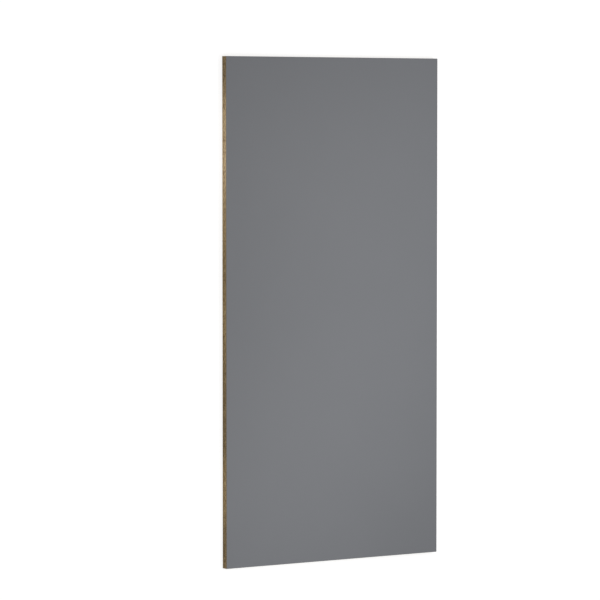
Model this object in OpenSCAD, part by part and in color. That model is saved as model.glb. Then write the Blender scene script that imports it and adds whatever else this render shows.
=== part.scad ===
// A full sheet of decorative laminate, bonded to a particle board.
// It lies flat with its decorative face up. The origin is the middle of its back, +X runs across
// the width, +Y along the length and +Z out of the decorative face. Sizes are in millimetres.

/* [Full sheet] */
// Width across the sheet, sold as 4 ft
sheet_width = 1220; // [300:10:1830]
// Length of the sheet, sold as 8 ft
sheet_length = 2440; // [600:10:3660]

/* [Core board] */
// Thickness of the particle board
core_thickness = 35; // [6:1:60]
// Width of the arris that sanding takes off round the back
back_arris = 0.6; // [0.1:0.1:2]

/* [Laminate] */
// Thickness of the decorative laminate on the face
laminate_thickness = 1; // [0.6:0.1:3]
// Width of the bevel that trimming leaves round the decorative face
trim_bevel = 0.3; // [0.1:0.1:0.5]

/* [Hidden] */

// Section across a sawn slab: upright sides, with the two upper corners cut off at 45 degrees
module slab_section(across, thickness, cut) {
    half = across / 2;
    polygon([
        [-half, 0],
        [half, 0],
        [half, thickness - cut],
        [half - cut, thickness],
        [-half + cut, thickness],
        [-half, thickness - cut]
    ]);
}

// The section of one direction, run far enough along the other
module sawn_strip(across, along, thickness, cut) {
    rotate([90, 0, 0])
        linear_extrude(height = along, center = true)
            slab_section(across, thickness, cut);
}

// A slab sawn to size both ways. The cut runs round its upper rim and mitres at the corners
module sawn_slab(width, length, thickness, cut) {
    intersection() {
        sawn_strip(width, length, thickness, cut);
        rotate([0, 0, 90]) sawn_strip(length, width, thickness, cut);
    }
}

// Particle board, face down as it is sawn, so that its eased arris is round the back
module core_board() {
    color("#a68e6a")
        translate([0, 0, core_thickness])
            mirror([0, 0, 1])
                sawn_slab(sheet_width, sheet_length, core_thickness, back_arris);
}

// Decorative laminate, glued over the whole face of the board and trimmed flush with its edges
module laminate_face() {
    color("#7a7c80")
        translate([0, 0, core_thickness])
            sawn_slab(sheet_width, sheet_length, laminate_thickness, trim_bevel);
}

core_board();
laminate_face();
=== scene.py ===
import math

import bpy
import numpy as np
from mathutils import Matrix, Vector


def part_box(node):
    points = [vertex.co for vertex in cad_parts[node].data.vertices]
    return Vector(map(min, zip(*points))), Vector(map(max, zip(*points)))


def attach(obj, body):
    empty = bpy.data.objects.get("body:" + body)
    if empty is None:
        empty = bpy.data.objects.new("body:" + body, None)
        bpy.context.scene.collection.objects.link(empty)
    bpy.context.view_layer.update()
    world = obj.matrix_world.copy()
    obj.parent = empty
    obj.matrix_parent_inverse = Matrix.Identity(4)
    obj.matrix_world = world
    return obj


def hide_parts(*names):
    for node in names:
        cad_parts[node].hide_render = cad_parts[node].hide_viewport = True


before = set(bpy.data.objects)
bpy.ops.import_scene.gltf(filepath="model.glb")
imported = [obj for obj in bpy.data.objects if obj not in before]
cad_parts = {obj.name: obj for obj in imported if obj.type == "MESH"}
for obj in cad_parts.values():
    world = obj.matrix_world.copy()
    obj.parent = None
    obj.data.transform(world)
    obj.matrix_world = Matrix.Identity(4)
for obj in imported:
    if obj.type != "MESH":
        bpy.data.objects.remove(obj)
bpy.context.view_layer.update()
scene = bpy.context.scene


# Core board: one slab of three-layer particle board, wood chips and resin pressed flat, fine chips
# outside and coarse chips inside. A panel saw cut its four edges, which stay raw, so chips have
# torn out of them. Its back was sanded, with the arris eased.

BOARD_LOW, BOARD_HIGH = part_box("core_board")
BOARD_MIDDLE = (BOARD_LOW[2] + BOARD_HIGH[2]) / 2
BOARD_THICKNESS = BOARD_HIGH[2] - BOARD_LOW[2]
BACK_ARRIS = 0.0006
EDGE_STEP = 0.0022          # from one column of the sawn edge's mesh to the next
OUTER_LAYER = 0.0075        # depth of the fine chips on either side
OUTER_ROW = 0.0026          # rows of that mesh in the fine outer chips
MIDDLE_ROW = 0.0013         # and in the coarse middle, where most chips tear out
TEAR_SEED = 36
TEAR_SPACING = 0.006        # one torn-out chip for each such stretch of edge
TEAR_SPREAD = 0.007         # how far from the board's middle most of them lie
TEAR_CLEARANCE = 0.010      # none comes nearer to the corner where the outline starts
HALF_TEAR_LENGTH = (0.002, 0.008)
HALF_TEAR_HEIGHT = (0.0009, 0.0024)
DEEPEST_TEAR = 0.0011
SHALLOW_TEAR = 0.25         # the shallowest, as a share of the deepest
SAW_ROUGHNESS = 0.00012
HELD_RIM = 0.002            # glue and sanding hold the chips within this of either face
MAP_BACK = (0.0, 0.37)      # heights on the board's map that its back fills,
MAP_GLUED = (0.38, 0.39)    # the face under the laminate, which stays hidden,
MAP_EDGES = (0.40, 1.0)     # and its sawn edges, so that their chips stay sharp
EDGE_STRIPS = 12            # the edges lie there in so many strips
STRIP_FILL = 0.92           # share of its band that a strip fills
MAP_RIM = 0.003             # left free along the map's sides


def edge_rows():
    """Heights of the sawn edge's rows, from the arris at the back up to the laminate."""
    low, high = BOARD_LOW[2] + BACK_ARRIS, BOARD_HIGH[2]
    levels = [low, BOARD_LOW[2] + OUTER_LAYER, high - OUTER_LAYER, high]
    rows = [low]
    for start, end, step in zip(levels, levels[1:], (OUTER_ROW, MIDDLE_ROW, OUTER_ROW)):
        count = round((end - start) / step)
        rows += [start + (end - start) * (i + 1) / count for i in range(count)]
    return np.array(rows)


def edge_columns():
    """Points round the sheet's outline, with the way into the board and the distance sawn so far."""
    corners = [np.array(c) for c in (
        (BOARD_LOW[0], BOARD_LOW[1]), (BOARD_HIGH[0], BOARD_LOW[1]),
        (BOARD_HIGH[0], BOARD_HIGH[1]), (BOARD_LOW[0], BOARD_HIGH[1]))]
    places, ways, sawn = [], [], []
    travelled = 0.0
    for corner, following in zip(corners, corners[1:] + corners[:1]):
        side = np.linalg.norm(following - corner)
        along = (following - corner) / side
        inward = np.array([-along[1], along[0]])
        count = round(side / EDGE_STEP)
        for k in range(count):
            places.append(corner + along * side * k / count)
            ways.append(inward if k else inward + along)
            sawn.append(travelled + side * k / count)
        travelled += side
    return np.array(places), np.array(ways), np.array(sawn), travelled


def torn_depth(sawn, heights, total):
    """How deep each point of the sawn edge lies under the plane of the cut."""
    rng = np.random.default_rng(TEAR_SEED)
    depth = np.abs(rng.normal(0.0, SAW_ROUGHNESS, (len(sawn), len(heights))))
    for _ in range(round(total / TEAR_SPACING)):
        centre = rng.uniform(TEAR_CLEARANCE, total - TEAR_CLEARANCE)
        level = rng.normal(BOARD_MIDDLE, TEAR_SPREAD)
        half_length = rng.uniform(*HALF_TEAR_LENGTH)
        half_height = rng.uniform(*HALF_TEAR_HEIGHT)
        deepest = DEEPEST_TEAR * rng.uniform(SHALLOW_TEAR, 1.0)
        first, last = np.searchsorted(sawn, (centre - half_length, centre + half_length))
        across = (sawn[first:last, None] - centre) / half_length
        up = (heights[None, :] - level) / half_height
        hollow = deepest * np.sqrt(np.clip(1 - across ** 2 - up ** 2, 0, 1))
        depth[first:last] = np.maximum(depth[first:last], hollow)
    held = np.minimum(heights - heights[0], heights[-1] - heights) / HELD_RIM
    return depth * np.clip(held, 0, 1)


def map_places(places, sawn, total, heights):
    """Where the corners of the board's faces lie on its map, in the order of the faces."""
    across, along = ((places - BOARD_LOW[:2]) / np.subtract(BOARD_HIGH[:2], BOARD_LOW[:2])).T
    back = np.column_stack([along, np.interp(across, (0, 1), MAP_BACK)])
    glued = np.column_stack([along, np.interp(across, (0, 1), MAP_GLUED)])
    spots = [*back[::-1], *glued]

    # the edges lie in strips, one above another, each as long as the map is wide
    started = sawn / total * EDGE_STRIPS
    ended = np.append(started[1:], EDGE_STRIPS)
    strips = np.floor(started)
    band = (MAP_EDGES[1] - MAP_EDGES[0]) / EDGE_STRIPS
    levels = (np.array([BOARD_LOW[2], *heights]) - BOARD_LOW[2]) / BOARD_THICKNESS * STRIP_FILL
    for start, end, strip in zip(started - strips, ended - strips, strips):
        rows = MAP_EDGES[0] + (strip + levels) * band
        for low, high in zip(rows, rows[1:]):
            spots += [(start, low), (end, low), (end, high), (start, high)]
    return np.array(spots) * (1 - 2 * MAP_RIM) + MAP_RIM


def sawn_board():
    """The board as one closed mesh: a flat face, a sanded back, and sawn edges with torn chips."""
    heights = edge_rows()
    places, ways, sawn, total = edge_columns()
    points, hollows = [], []
    for place, way, sunk in zip(places, ways, torn_depth(sawn, heights, total)):
        if way.all():
            sunk = sunk * 0     # a corner, where the way in leads off both its sides, stays square
        points.append((*(place + way * BACK_ARRIS), BOARD_LOW[2]))
        points += [(*(place + way * s), h) for s, h in zip(sunk, heights)]
        hollows += [0.0, *(sunk / DEEPEST_TEAR)]
    rows, count = len(heights) + 1, len(places)
    faces = [[c * rows for c in reversed(range(count))], [c * rows + rows - 1 for c in range(count)]]
    for c in range(count):
        here, there = c * rows, (c + 1) % count * rows
        faces += [[here + r, there + r, there + r + 1, here + r + 1] for r in range(rows - 1)]
    mesh = bpy.data.meshes.new("core_board")
    mesh.from_pydata(points, [], faces)
    # the depth of each torn hollow is kept as "torn", from which the finish paints shade into the
    # hollows
    mesh.attributes.new("torn", "FLOAT", "POINT").data.foreach_set("value", hollows)
    spots = map_places(places, sawn, total, heights)
    mesh.uv_layers.new(name="OFBake").uv.foreach_set("vector", spots.ravel())
    board = bpy.data.objects.new("particle_board", mesh)
    scene.collection.objects.link(board)
    return board


def node(tree, kind, sockets, **settings):
    """Adds a shader node; each socket is set to a value, or joined to the socket given."""
    made = tree.nodes.new("ShaderNode" + kind)
    for name, value in settings.items():
        setattr(made, name, value)
    for name, value in sockets.items():
        if isinstance(value, bpy.types.NodeSocket):
            tree.links.new(value, made.inputs[name])
        else:
            made.inputs[name].default_value = value
    return made


def maths(tree, operation, *values):
    return node(tree, "Math", dict(enumerate(values)), operation=operation).outputs[0]


def stretch(tree, value, low, high, to_low=0.0, to_high=1.0):
    """Carries the range low to high smoothly over to another, and stops at its ends."""
    sockets = {0: value, 1: low, 2: high, 3: to_low, 4: to_high}
    return node(tree, "MapRange", sockets, interpolation_type="SMOOTHSTEP").outputs[0]


NOISE_REACH = 0.2           # how far noise mostly strays from a half, to either side


def spread(tree, value, low, high, reach=NOISE_REACH):
    """Carries noise over to the range low to high."""
    return stretch(tree, value, 0.5 - reach, 0.5 + reach, low, high)


def varied(tree, value, amount, reach=NOISE_REACH):
    """A strength up to an amount to either side of 1, from noise."""
    return spread(tree, value, 1 - amount, 1 + amount, reach)


def mixed(tree, share, under, over):
    return node(tree, "Mix", {0: share, 2: under, 3: over}).outputs[0]


def mixed_colour(tree, share, under, over, way="MIX"):
    sockets = {0: share, 6: under, 7: over}
    return node(tree, "Mix", sockets, data_type="RGBA", blend_type=way).outputs[2]


def shaded(tree, colour, strength):
    """A colour made lighter or darker by a strength round 1."""
    grey = node(tree, "CombineXYZ", {0: strength, 1: strength, 2: strength}).outputs[0]
    return mixed_colour(tree, 1.0, colour, grey, "MULTIPLY")


def colour_steps(tree, share, steps):
    ramp = node(tree, "ValToRGB", {0: share})
    elements = ramp.color_ramp.elements
    while len(elements) < len(steps):
        elements.new(0.5)
    for element, (position, colour) in zip(elements, steps):
        element.position = position
        element.color = (*colour, 1)
    return ramp.outputs[0]


def inverse(size):
    return tuple(1 / s for s in size)


SMOOTH, CLOUDY, RAGGED = 1.0, 2.0, 3.0      # how much detail a noise has


def noise(tree, place, size, detail=CLOUDY, seed=None):
    """Even noise from 0 to 1, whose clouds are about as wide as size, in metres."""
    sockets = {"Vector": place, "Scale": 1 / size, "Detail": detail}
    if seed is None:
        return node(tree, "TexNoise", sockets).outputs[0]
    return node(tree, "TexNoise", {**sockets, "W": seed}, noise_dimensions="4D").outputs[0]


FINE_CHIP = (0.0032, 0.0032, 0.0008)    # chips of the outer layers, which fill the middle too
COARSE_CHIPS = [                        # chips of the middle layer, and the share of places taken
    ((0.024, 0.007, 0.0017), 0.6),
    ((0.007, 0.020, 0.0015), 0.4),
]
COARSE_HALF = 0.0105                    # they lie this far to either side of the board's middle
FIBRE_SIZE = (0.0077, 0.0077, 0.0003)   # the wood's fibres, which run level
BEND_SIZE = 0.0077
CHIP_BEND = (0.006, 0.006, 0.0018)      # how far chips bend out of their straight cells
SPLINTER = (0.005, 0.005, 0.0)          # how far their torn ends run out along the fibres
CHIP_GAP = 0.07                         # width of the gap between two chips, as a share of a chip
VOIDS = 0.06                            # share of the fine chips in the middle that fell out
CHIP_COLOURS = [
    (0.00, (0.074, 0.041, 0.017)),
    (0.12, (0.173, 0.105, 0.044)),
    (0.35, (0.280, 0.191, 0.086)),
    (0.70, (0.374, 0.269, 0.128)),
    (1.00, (0.523, 0.404, 0.214)),
]
FIBRE_SHADES = 0.28                     # how much lighter and darker each of these makes the wood
DRIFT_SHADES = 0.30
DUST_SHADES = 0.14
GAP_PAINTED_SHADE = 0.35                         # painted shade in the gaps, voids and torn hollows, at its deepest
VOID_PAINTED_SHADE = 0.7
TORN_PAINTED_SHADE = 0.6
DUST_SIZE = 0.0009                      # specks of saw dust and resin
DRIFT_SIZE = 0.30                      # the sawn edges are lighter here and darker there along their length
DRIFT_REACH = 0.3
DRIFT_SEED = 1325.5
SAW_MARK_SPACING = 0.0034
SAW_MARK = 0.06                         # heights of relief, as shares of the bump's
CHIP_RELIEF = 0.4
FIBRE_RELIEF = 0.5
BOARD_BUMP = 0.0004
SANDED, SAWN = 0.15, 0.7                # how much of the bump the back and the edges show
CHIP_ROUGHNESS = (0.92, 0.78)           # of the darkest and of the lightest chips
BOARD_SPECULAR = 0.25


def packed_chips(tree, place, size):
    """Chips of one size: two random numbers and the height of each, and the way in from its rim."""
    packed = node(tree, "VectorMath", {0: place, 1: inverse(size)}, operation="MULTIPLY")
    sockets = {"Vector": packed.outputs[0], "Scale": 1.0}
    cells = node(tree, "TexVoronoi", sockets).outputs
    shade, seat, _ = node(tree, "SeparateColor", {0: cells["Color"]}).outputs
    middle = node(tree, "SeparateXYZ", {0: cells["Position"]}).outputs[2]
    rim = node(tree, "TexVoronoi", sockets, feature="DISTANCE_TO_EDGE").outputs[0]
    return shade, seat, maths(tree, "MULTIPLY", middle, size[2]), rim


def shaken(tree, place, amount, by):
    """Moves each place by up to half an amount either way, as the noise given says."""
    way = node(tree, "VectorMath", {0: by, 1: (0.5, 0.5, 0.5)}, operation="SUBTRACT").outputs[0]
    sockets = {0: way, 1: amount, 2: place}
    return node(tree, "VectorMath", sockets, operation="MULTIPLY_ADD").outputs[0]


def particle_board():
    finish = bpy.data.materials.new("particle_board")
    finish.use_nodes = True
    tree = finish.node_tree
    shader = tree.nodes["Principled BSDF"]
    place = node(tree, "TexCoord", {}).outputs["Object"]
    across, along, height = node(tree, "SeparateXYZ", {0: place}).outputs

    # fibres run level; chips bend a little, and splinter at their ends along the fibres
    level_place = node(tree, "VectorMath", {0: place, 1: inverse(FIBRE_SIZE)}, operation="MULTIPLY")
    fibres = noise(tree, level_place.outputs[0], 1.0, RAGGED).node.outputs
    bend = noise(tree, place, BEND_SIZE, RAGGED).node.outputs["Color"]
    torn_place = shaken(tree, shaken(tree, place, CHIP_BEND, bend), SPLINTER, fibres["Color"])

    # fine chips fill the board, and whole coarse chips lie over them in its middle layer
    shade, seat, level, rim = packed_chips(tree, torn_place, FINE_CHIP)
    inside = maths(tree, "COMPARE", level, BOARD_MIDDLE, COARSE_HALF)
    void = maths(tree, "MULTIPLY", maths(tree, "LESS_THAN", seat, VOIDS), inside)
    for size, share in COARSE_CHIPS:
        chip_shade, chip_seat, level, chip_rim = packed_chips(tree, torn_place, size)
        inside = maths(tree, "COMPARE", level, BOARD_MIDDLE, COARSE_HALF)
        laid = maths(tree, "MULTIPLY", maths(tree, "LESS_THAN", chip_seat, share), inside)
        shade = mixed(tree, laid, shade, chip_shade)
        seat = mixed(tree, laid, seat, maths(tree, "DIVIDE", chip_seat, share))
        rim = mixed(tree, laid, rim, chip_rim)
        void = mixed(tree, laid, void, 0.0)
    gap = maths(tree, "MULTIPLY", stretch(tree, rim, 0.0, CHIP_GAP, 1.0, 0.0), seat)

    # fibres and dust vary each chip, the cut edges drift lighter and darker, and gaps, voids and
    # torn hollows get painted shade
    torn = node(tree, "Attribute", {}, attribute_name="torn").outputs["Fac"]
    cut = stretch(tree, height, BOARD_LOW[2] + BACK_ARRIS / 2, BOARD_LOW[2] + BACK_ARRIS)
    # wide clouds that make the sawn edges lighter here and darker there along their length
    drift = noise(tree, place, DRIFT_SIZE, SMOOTH, DRIFT_SEED)
    # painted shade: the gaps between chips and the voids are darkened, as shade would fall in them
    gap_shade = maths(tree, "MULTIPLY", gap, GAP_PAINTED_SHADE)
    void_shade = maths(tree, "MULTIPLY", void, VOID_PAINTED_SHADE)
    colour = colour_steps(tree, shade, CHIP_COLOURS)
    for strength in (
            varied(tree, fibres[0], FIBRE_SHADES),
            varied(tree, noise(tree, torn_place, DUST_SIZE, RAGGED), DUST_SHADES),
            mixed(tree, cut, 1.0, varied(tree, drift, DRIFT_SHADES, DRIFT_REACH)),
            maths(tree, "SUBTRACT", 1.0, maths(tree, "MAXIMUM", gap_shade, void_shade)),
            # painted shade in the torn hollows, darker the deeper they are
            maths(tree, "MULTIPLY_ADD", torn, -TORN_PAINTED_SHADE, 1.0)):
        colour = shaded(tree, colour, strength)
    tree.links.new(colour, shader.inputs["Base Color"])

    # the saw leaves faint ridges across the edges; the back was sanded until it was nearly smooth
    ridges = maths(tree, "MULTIPLY", maths(tree, "ADD", across, along), math.tau / SAW_MARK_SPACING)
    relief = maths(tree, "MULTIPLY", fibres[0], FIBRE_RELIEF)
    relief = maths(tree, "MULTIPLY_ADD", shade, CHIP_RELIEF, relief)
    relief = maths(tree, "MULTIPLY_ADD", maths(tree, "SINE", ridges), SAW_MARK, relief)
    relief = maths(tree, "SUBTRACT", relief, maths(tree, "MAXIMUM", gap, void))
    rough = mixed(tree, cut, SANDED, SAWN)
    bump = node(tree, "Bump", {"Height": relief, "Strength": rough, "Distance": BOARD_BUMP})
    tree.links.new(bump.outputs[0], shader.inputs["Normal"])
    tree.links.new(stretch(tree, shade, 0.0, 1.0, *CHIP_ROUGHNESS), shader.inputs["Roughness"])
    shader.inputs["Specular IOR Level"].default_value = BOARD_SPECULAR
    return finish


board = sawn_board()
board.data.materials.append(particle_board())
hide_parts("core_board")
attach(board, "root")


# Laminate face: one plate of brown kraft papers under a grey decor paper, soaked in resin and
# pressed. It is glued over the board's whole face and trimmed flush, and the bevelled cut shows the
# brown papers under the grey. The press plate left a fine suede grain.

LAMINATE_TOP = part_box("laminate_face")[1][2]
DECOR_DEPTH = 0.00015               # the grey paper and its clear coat
DECOR_GREY = (0.172, 0.178, 0.191)
CLOUDS = 0.007                      # how far the printed grey strays, over wide clouds
CLOUD_SIZE = 0.30
SPECKS = 0.06                       # and from one speck of pigment to the next
SPECK_SIZE = 0.0008
SHEEN = (0.53, 0.54)                # roughness of the clear coat
SHEEN_SIZE = 0.12
KRAFT_BROWN = (0.105, 0.058, 0.030)
KRAFT_PAPER = 0.00018               # thickness of one brown paper
PAPER_LINE = 0.12                   # how much lighter and darker the papers' cut edges are
PULP_SIZE = 0.0015
PULP_SHADES = 0.25
KRAFT_ROUGHNESS = 0.75
GRAIN_SIZE = 0.0006
GRAIN_DEPTH = 0.00006
GRAIN_STRENGTH = 0.5
SWELL_SIZE = 0.02                   # the face is also a little uneven, half as much as its grain
SWELL = 0.5
LAMINATE_SPECULAR = 0.4


def grey_laminate():
    finish = bpy.data.materials.new("grey_laminate")
    finish.use_nodes = True
    tree = finish.node_tree
    shader = tree.nodes["Principled BSDF"]
    place = node(tree, "TexCoord", {}).outputs["Object"]
    height = node(tree, "SeparateXYZ", {0: place}).outputs[2]

    # the grey is one even colour, with the faintest clouds of a printed solid, and pigment specks
    clouds = varied(tree, noise(tree, place, CLOUD_SIZE, RAGGED), CLOUDS)
    specks = varied(tree, noise(tree, place, SPECK_SIZE, RAGGED), SPECKS)
    grey = shaded(tree, (*DECOR_GREY, 1), maths(tree, "MULTIPLY", clouds, specks))
    papers = maths(tree, "SINE", maths(tree, "MULTIPLY", height, math.tau / KRAFT_PAPER))
    pulp = varied(tree, noise(tree, place, PULP_SIZE, RAGGED), PULP_SHADES)
    brown = shaded(tree, (*KRAFT_BROWN, 1), maths(tree, "MULTIPLY_ADD", papers, PAPER_LINE, pulp))
    decor = maths(tree, "GREATER_THAN", height, LAMINATE_TOP - DECOR_DEPTH)
    tree.links.new(mixed_colour(tree, decor, brown, grey), shader.inputs["Base Color"])

    # the grain is pressed in, over a slow swell, and the clear coat's sheen hardly changes
    swell = noise(tree, place, SWELL_SIZE, SMOOTH)
    relief = maths(tree, "MULTIPLY_ADD", swell, SWELL, noise(tree, place, GRAIN_SIZE))
    grain = {"Height": relief, "Strength": GRAIN_STRENGTH, "Distance": GRAIN_DEPTH}
    tree.links.new(node(tree, "Bump", grain).outputs[0], shader.inputs["Normal"])
    sheen = spread(tree, noise(tree, place, SHEEN_SIZE), *SHEEN)
    tree.links.new(mixed(tree, decor, KRAFT_ROUGHNESS, sheen), shader.inputs["Roughness"])
    shader.inputs["Specular IOR Level"].default_value = LAMINATE_SPECULAR
    return finish


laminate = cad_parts["laminate_face"]
laminate.data.materials.clear()
laminate.data.materials.append(grey_laminate())


# Studio floor: a plain pale floor that the sheet lies on. To the camera it is white, but it is
# a real surface, which takes the sheet's soft shadow and throws light back.

FLOOR_HALF = 60.0           # half its width and length
FLOOR_LEVEL = -0.0003       # just clear of the sheet's back
FLOOR_GREY = 0.85           # what it throws back of the light that falls on it
FLOOR_SHADOW = 0.50         # what it throws back to the camera, where the shadow shows,
FLOOR_GLOW = 0.73           # and what it adds to that of its own, to be white


def even_grey(level):
    return level, level, level, 1


def seen_plainly(tree):
    """1 to the camera, straight on, mirrored or through glass, and 0 to all other light."""
    rays = node(tree, "LightPath", {}).outputs
    seen = maths(tree, "MAXIMUM", rays["Is Camera Ray"], rays["Is Glossy Ray"])
    return maths(tree, "MAXIMUM", seen, rays["Is Transmission Ray"])


def pale_floor():
    finish = bpy.data.materials.new("pale_floor")
    finish.use_nodes = True
    tree = finish.node_tree
    tree.nodes.clear()
    seen = seen_plainly(tree)
    lit = node(tree, "BsdfDiffuse", {"Color": even_grey(FLOOR_GREY)}).outputs[0]
    part_lit = node(tree, "BsdfDiffuse", {"Color": even_grey(FLOOR_SHADOW)}).outputs[0]
    glow = node(tree, "Emission", {"Color": even_grey(1), "Strength": FLOOR_GLOW}).outputs[0]
    white = node(tree, "AddShader", {0: part_lit, 1: glow}).outputs[0]
    ground = node(tree, "MixShader", {0: seen, 1: lit, 2: white}).outputs[0]
    node(tree, "OutputMaterial", {"Surface": ground})
    return finish


floor_mesh = bpy.data.meshes.new("floor")
floor_outline = ((-1, -1), (1, -1), (1, 1), (-1, 1))
floor_corners = [(x * FLOOR_HALF, y * FLOOR_HALF, FLOOR_LEVEL) for x, y in floor_outline]
floor_mesh.from_pydata(floor_corners, [], [[0, 1, 2, 3]])
floor_mesh.materials.append(pale_floor())
floor = bpy.data.objects.new("floor", floor_mesh)
scene.collection.objects.link(floor)


# Studio light: an even white sky, three soft lamps hung over the sheet, so that the grey is
# lightest below the middle and falls off to the corners, and one low lamp beside it for the upper
# end of the left edge.

SKY_STRENGTH = 0.56         # of its light on the sheet; to the camera it is white
SOFTBOX_SIZE = 0.7
SOFTBOXES = [               # name, place and power
    ("near_softbox", (-0.3, -1.1, 1.0), 1.7),
    ("middle_softbox", (0.3, -0.5, 1.3), 3.4),
    ("far_softbox", (0.6, 0.6, 1.7), 7.7),
]
EDGE_LAMP_PLACE = (-1.3, 0.76, 0.018)
EDGE_LAMP_SIZE = (0.3, 0.03)
EDGE_LAMP_SPREAD = math.radians(70)
EDGE_LAMP_POWER = 0.43
EDGE_LAMP_COLOUR = (0.92, 0.97, 1.27)       # cool, so that the chips it lights stay a dull brown


def white_sky():
    sky = bpy.data.worlds.new("studio")
    sky.use_nodes = True
    tree = sky.node_tree
    tree.nodes.clear()
    strength = mixed(tree, seen_plainly(tree), SKY_STRENGTH, 1.0)
    light = node(tree, "Background", {"Color": even_grey(1), "Strength": strength}).outputs[0]
    node(tree, "OutputWorld", {"Surface": light})
    return sky


def soft_lamp(name, place, towards, size, power):
    light = bpy.data.lights.new(name, "AREA")
    light.shape = "RECTANGLE"
    light.size, light.size_y = size
    light.energy = power
    lamp = bpy.data.objects.new(name, light)
    scene.collection.objects.link(lamp)
    aim = (Vector(towards) - Vector(place)).to_track_quat("-Z", "Y")
    lamp.matrix_world = Matrix.Translation(place) @ aim.to_matrix().to_4x4()
    lamp.visible_camera = False
    return lamp


scene.world = white_sky()
for name, (x, y, z), power in SOFTBOXES:
    soft_lamp(name, (x, y, z), (x, y, 0), (SOFTBOX_SIZE, SOFTBOX_SIZE), power)
beside_lamp = (BOARD_LOW[0], *EDGE_LAMP_PLACE[1:])
edge_lamp = soft_lamp("edge_lamp", EDGE_LAMP_PLACE, beside_lamp, EDGE_LAMP_SIZE, EDGE_LAMP_POWER)
edge_lamp.data.spread = EDGE_LAMP_SPREAD
edge_lamp.data.color = EDGE_LAMP_COLOUR


# Camera: it stands where the photograph's did, measured from the sheet, turned a third of a right
# angle to the face's left, tipped a little downwards, and far off with a long lens.

CAMERA_TURN = math.radians(32.72)
CAMERA_TIP = math.radians(2.97)
CAMERA_DISTANCE = 16.612
CAMERA_ASIDE = -0.1637      # how far it is moved sideways and up, so that the sheet is off centre
CAMERA_ABOVE = 0.047
CAMERA_FIELD = math.radians(10.0)
CAMERA_SEES = (0.1, 200.0)  # nearest and farthest

lens = bpy.data.cameras.new("camera")
lens.angle = CAMERA_FIELD
lens.clip_start, lens.clip_end = CAMERA_SEES
camera = bpy.data.objects.new("camera", lens)
scene.collection.objects.link(camera)
face_middle = Matrix.Translation((0, 0, LAMINATE_TOP))
swing = (Matrix.Rotation(CAMERA_TIP, 4, "X") @ Matrix.Rotation(CAMERA_TURN, 4, "Y")).inverted()
stand = Matrix.Translation((CAMERA_ASIDE, CAMERA_ABOVE, CAMERA_DISTANCE))
camera.matrix_world = face_middle @ swing @ stand
scene.camera = camera

scene.view_settings.view_transform = "Standard"
